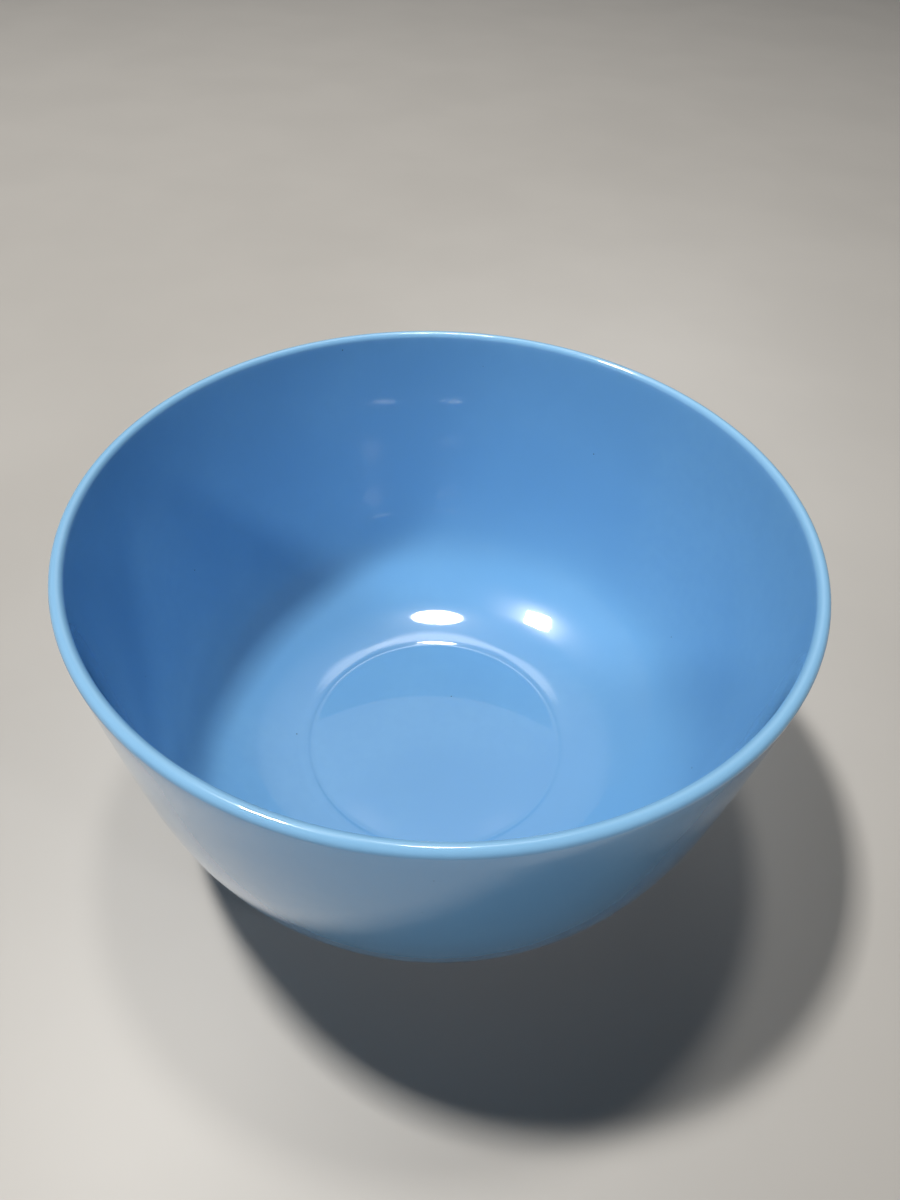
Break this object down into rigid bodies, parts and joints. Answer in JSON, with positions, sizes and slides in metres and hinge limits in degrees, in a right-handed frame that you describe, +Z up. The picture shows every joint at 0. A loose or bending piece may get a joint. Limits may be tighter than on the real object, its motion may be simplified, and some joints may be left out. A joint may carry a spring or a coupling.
{
  "type": "serving bowl",
  "caption": "Deep round glazed bowl with a rounded lip, a steep slightly flared wall, a flat floor inside bounded by a soft ring, and a low foot ring.",
  "frame": {"origin": "centre of the circle that the foot ring rests on, at the resting plane", "axes": "+Z up along the bowl's axis of turning; X and Y are interchangeable"},
  "size_m": [0.24, 0.24, 0.127],
  "materials": {
    "blue_glaze": "clear gloss over an even sky blue, slightly paler and thinner over the lip",
    "fired_clay": "matt, fine grained, unglazed buff stoneware"
  },
  "bodies": {
    "root": {"clay_body": "fired_clay", "glaze_coat": "blue_glaze", "foot_well_glaze": "blue_glaze"}
  },
  "joints": []
}
